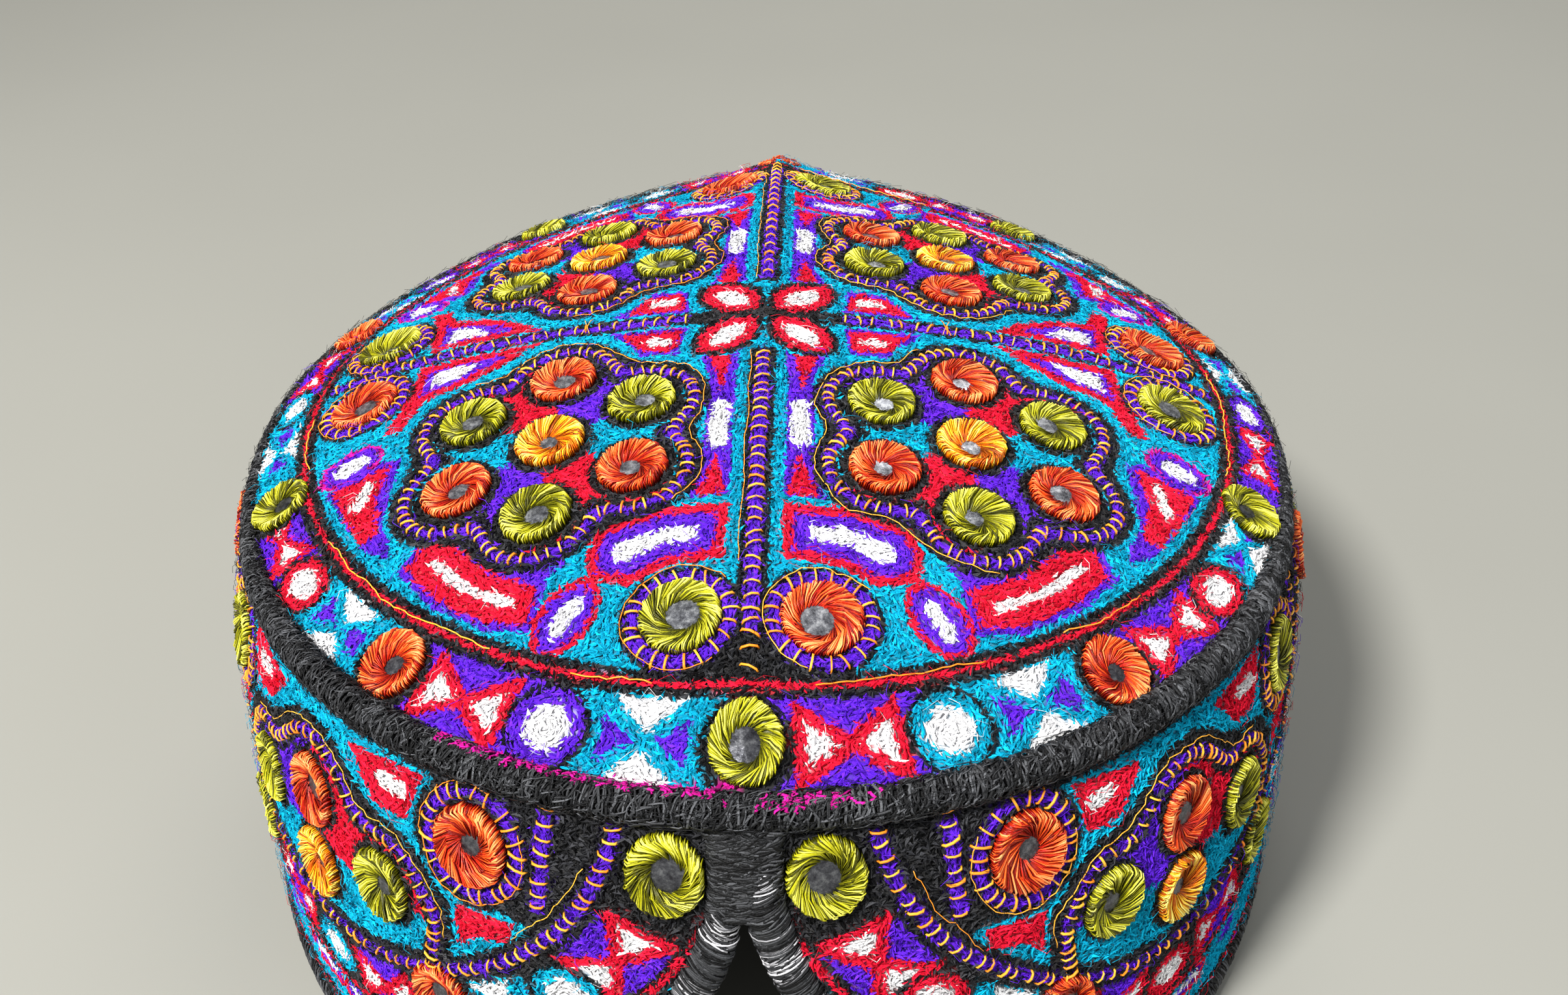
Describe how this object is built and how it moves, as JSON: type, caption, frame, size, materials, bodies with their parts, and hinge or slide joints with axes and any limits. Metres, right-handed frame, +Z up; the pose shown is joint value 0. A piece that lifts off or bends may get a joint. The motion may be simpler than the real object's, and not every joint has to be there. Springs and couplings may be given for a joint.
{
  "type": "sindhi cap",
  "caption": "Round embroidered cap with a gently domed crown, an upright side band with a pointed notch over the forehead, and mirrors held by floss rings.",
  "frame": {"origin": "middle of the cap's bounding box at the rim's underside, on the floor that it rests on", "axes": "+Z up through the crown, +Y towards the back of the head, +X towards the wearer's left; the forehead notch faces -Y"},
  "size_m": [0.1904, 0.2022, 0.097],
  "materials": {
    "embroidered_cloth": "wool and cotton thread embroidery, matte",
    "black_thread": "fuzzy black wool, matte",
    "floss_green": "silk floss round a small mirror",
    "floss_orange": "silk floss round a small mirror",
    "floss_yellow": "silk floss round a small mirror"
  },
  "bodies": {
    "root": {"crown_panel": "embroidered_cloth", "side_band": "embroidered_cloth", "seam_roll": "black_thread", "notch_binding": "black_thread", "rim_binding": "black_thread", "mirror_front_right_middle": "floss_yellow", "mirror_front_right_1": "floss_orange", "mirror_front_right_2": "floss_green", "mirror_front_right_3": "floss_orange", "mirror_front_right_4": "floss_green", "mirror_front_right_5": "floss_orange", "mirror_front_right_6": "floss_green", "end_mirror_front_right": "floss_green", "side_mirror_front_right": "floss_orange", "mirror_back_right_middle": "floss_yellow", "mirror_back_right_1": "floss_green", "mirror_back_right_2": "floss_orange", "mirror_back_right_3": "floss_green", "mirror_back_right_4": "floss_orange", "mirror_back_right_5": "floss_green", "mirror_back_right_6": "floss_orange", "end_mirror_back_right": "floss_orange", "side_mirror_back_right": "floss_green", "mirror_front_left_middle": "floss_yellow", "mirror_front_left_1": "floss_orange", "mirror_front_left_2": "floss_green", "mirror_front_left_3": "floss_orange", "mirror_front_left_4": "floss_green", "mirror_front_left_5": "floss_orange", "mirror_front_left_6": "floss_green", "end_mirror_front_left": "floss_orange", "side_mirror_front_left": "floss_green", "mirror_back_left_middle": "floss_yellow", "mirror_back_left_1": "floss_green", "mirror_back_left_2": "floss_orange", "mirror_back_left_3": "floss_green", "mirror_back_left_4": "floss_orange", "mirror_back_left_5": "floss_green", "mirror_back_left_6": "floss_orange", "end_mirror_back_left": "floss_green", "side_mirror_back_left": "floss_orange", "notch_mirror_right": "floss_green", "swag_mirror_right": "floss_orange", "notch_mirror_left": "floss_green", "swag_mirror_left": "floss_orange"}
  },
  "joints": []
}
